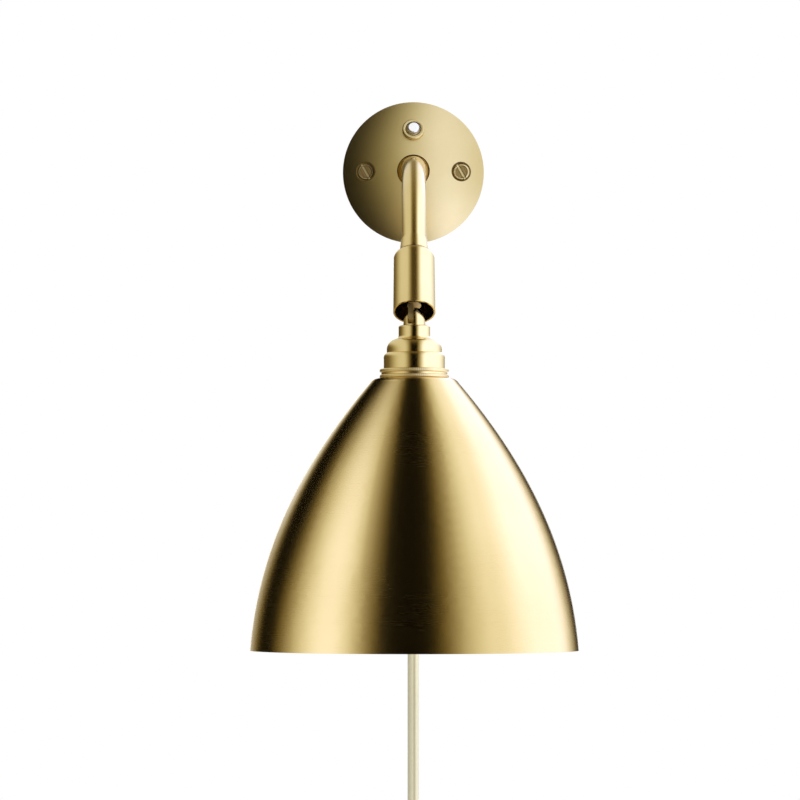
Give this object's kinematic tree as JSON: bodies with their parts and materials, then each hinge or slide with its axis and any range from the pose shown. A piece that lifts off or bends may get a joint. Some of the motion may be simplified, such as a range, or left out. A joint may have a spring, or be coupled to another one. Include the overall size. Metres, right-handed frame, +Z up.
{
  "type": "wall light",
  "caption": "Brass wall light with a round wall rose, a bent arm, a knuckle joint, a bell shade that swivels and tilts, a push button and a plug-in lead",
  "frame": {"origin": "middle of the rose, on the wall", "axes": "+Y goes into the wall, the light reaches out along -Y, +Z is up, +X is to the right seen from the room"},
  "size_m": [0.16, 0.2233, 0.5367],
  "materials": {
    "satin_brass": "satin, finely brushed round the axis",
    "steel": "zinc plated, matt",
    "chrome": "polished",
    "ivory_lead": "smooth flexible sheath, half matt",
    "ivory_plastic": "moulded, half matt",
    "dark_plastic": "moulded, matt",
    "opal_glass": "opal white"
  },
  "bodies": {
    "wall_unit": {"wall_plate": "steel", "rose_cover": "satin_brass", "cover_screws": "satin_brass", "arm_foot": "satin_brass", "foot_screws": "steel", "switch_body": "dark_plastic", "switch_ring": "satin_brass", "terminal_block": "dark_plastic", "cord_gland": "ivory_plastic", "cord_clamp": "steel", "clamp_screws": "steel", "arm_tube": "satin_brass", "arm_ferrule": "satin_brass", "arm_nut": "satin_brass", "joint_sleeve": "satin_brass", "swivel_seat": "satin_brass", "cord_drop": "ivory_lead", "cord_coil": "ivory_lead", "cord_tie": "ivory_plastic", "plug_body": "ivory_plastic", "plug_pins": "chrome"},
    "button": {"push_button": "chrome"},
    "swivel": {"swivel_stud": "satin_brass", "swivel_clip": "steel"},
    "shade_unit": {"fork": "satin_brass", "pivot_pin": "satin_brass", "fork_nut": "satin_brass", "holder_cap": "satin_brass", "holder_ring": "satin_brass", "shade_ring": "satin_brass", "shade": "satin_brass", "inner_ring": "satin_brass", "lampholder": "dark_plastic", "screw_shell": "satin_brass", "centre_contact": "satin_brass", "bulb_cap": "chrome", "bulb_glass": "opal_glass"}
  },
  "joints": [
    {"name": "shade_swivel", "type": "hinge", "parent": "wall_unit", "child": "swivel", "pos_m": [0, -0.136, -0.079], "axis": [0, -0.5417, -0.8406], "range_deg": [-170, 170]},
    {"name": "shade_tilt", "type": "hinge", "parent": "swivel", "child": "shade_unit", "pos_m": [0, -0.136, -0.079], "axis": [-1, 0, 0], "range_deg": [-15, 75]},
    {"name": "button_press", "type": "slide", "parent": "wall_unit", "child": "button", "axis": [0, 0.9076, -0.4197], "range_m": [0, 0.0012], "stiffness_N_per_m": 600}
  ]
}
